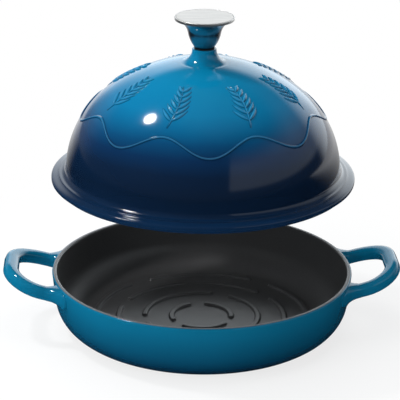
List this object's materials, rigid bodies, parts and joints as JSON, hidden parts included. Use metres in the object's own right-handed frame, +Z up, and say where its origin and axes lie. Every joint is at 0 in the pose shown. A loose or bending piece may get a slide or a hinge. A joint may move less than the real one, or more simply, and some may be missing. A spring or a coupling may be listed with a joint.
{
  "type": "dutch oven",
  "caption": "Shallow round enamelled cast-iron pan with loop handles and a tall domed lid with a steel trumpet knob, the lid held lifted above the pan.",
  "frame": {"origin": "centre of the pan's foot, on the plane it stands on", "axes": "+Z up along the axis of the pan and the lid, +X through one of the two handles"},
  "size_m": [0.3432, 0.26, 0.2771],
  "materials": {
    "enamelled_iron": "gloss vitreous enamel, shaded from light blue to dark blue outside and satin black inside",
    "polished_steel": "polished",
    "brushed_steel": "brushed in one direction",
    "plain_steel": "plain machined",
    "seal": "matte"
  },
  "bodies": {
    "pan": {"pan": "enamelled_iron"},
    "lid": {"lid": "enamelled_iron", "knob_shell": "polished_steel", "knob_top_disc": "brushed_steel", "knob_insert": "plain_steel", "knob_screw": "plain_steel", "spring_washer": "plain_steel", "flat_washer": "plain_steel", "knob_seat_washer": "seal"}
  },
  "joints": [
    {"name": "lid_lift", "type": "slide", "parent": "pan", "child": "lid", "axis": [0, 0, 1], "range_m": [-0.084, 0]}
  ]
}
